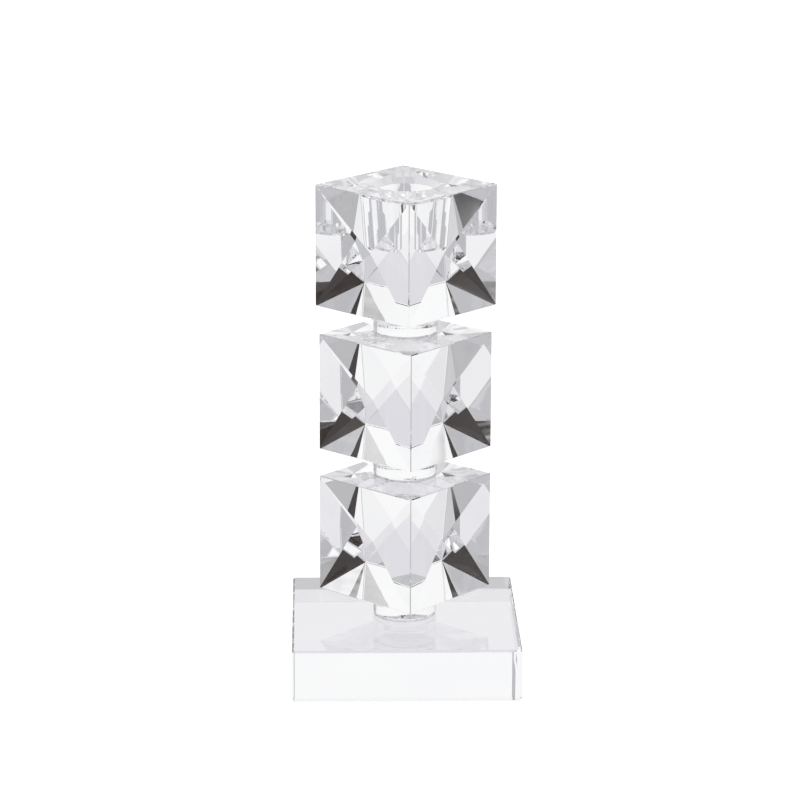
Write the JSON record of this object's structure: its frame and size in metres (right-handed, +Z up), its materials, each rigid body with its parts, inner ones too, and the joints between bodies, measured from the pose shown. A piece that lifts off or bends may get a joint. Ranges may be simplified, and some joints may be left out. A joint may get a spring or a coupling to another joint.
{
  "type": "glass candlestick",
  "caption": "Clear cut-crystal candlestick: a square slab base and a column of sunk-faceted blocks set corner-on, joined by short round necks, with a socket for a taper candle in the top.",
  "frame": {"origin": "centre of the base slab's underside, where the candlestick stands", "axes": "+Z up along the column to the candle socket, +X and +Y square to the base slab's sides"},
  "size_m": [0.093, 0.093, 0.2035],
  "materials": {
    "base_slab": "polished clear crystal",
    "block": "polished clear crystal, cut facets",
    "neck": "clear crystal rod, fine ground",
    "adhesive": "clear cured adhesive film"
  },
  "bodies": {
    "root": {"base_slab": "base_slab", "bond_under_lower_neck": "adhesive", "neck_lower": "neck", "bond_over_lower_neck": "adhesive", "block_lower": "block", "bond_under_middle_neck": "adhesive", "neck_middle": "neck", "bond_over_middle_neck": "adhesive", "block_middle": "block", "bond_under_upper_neck": "adhesive", "neck_upper": "neck", "bond_over_upper_neck": "adhesive", "block_upper": "block"}
  },
  "joints": []
}
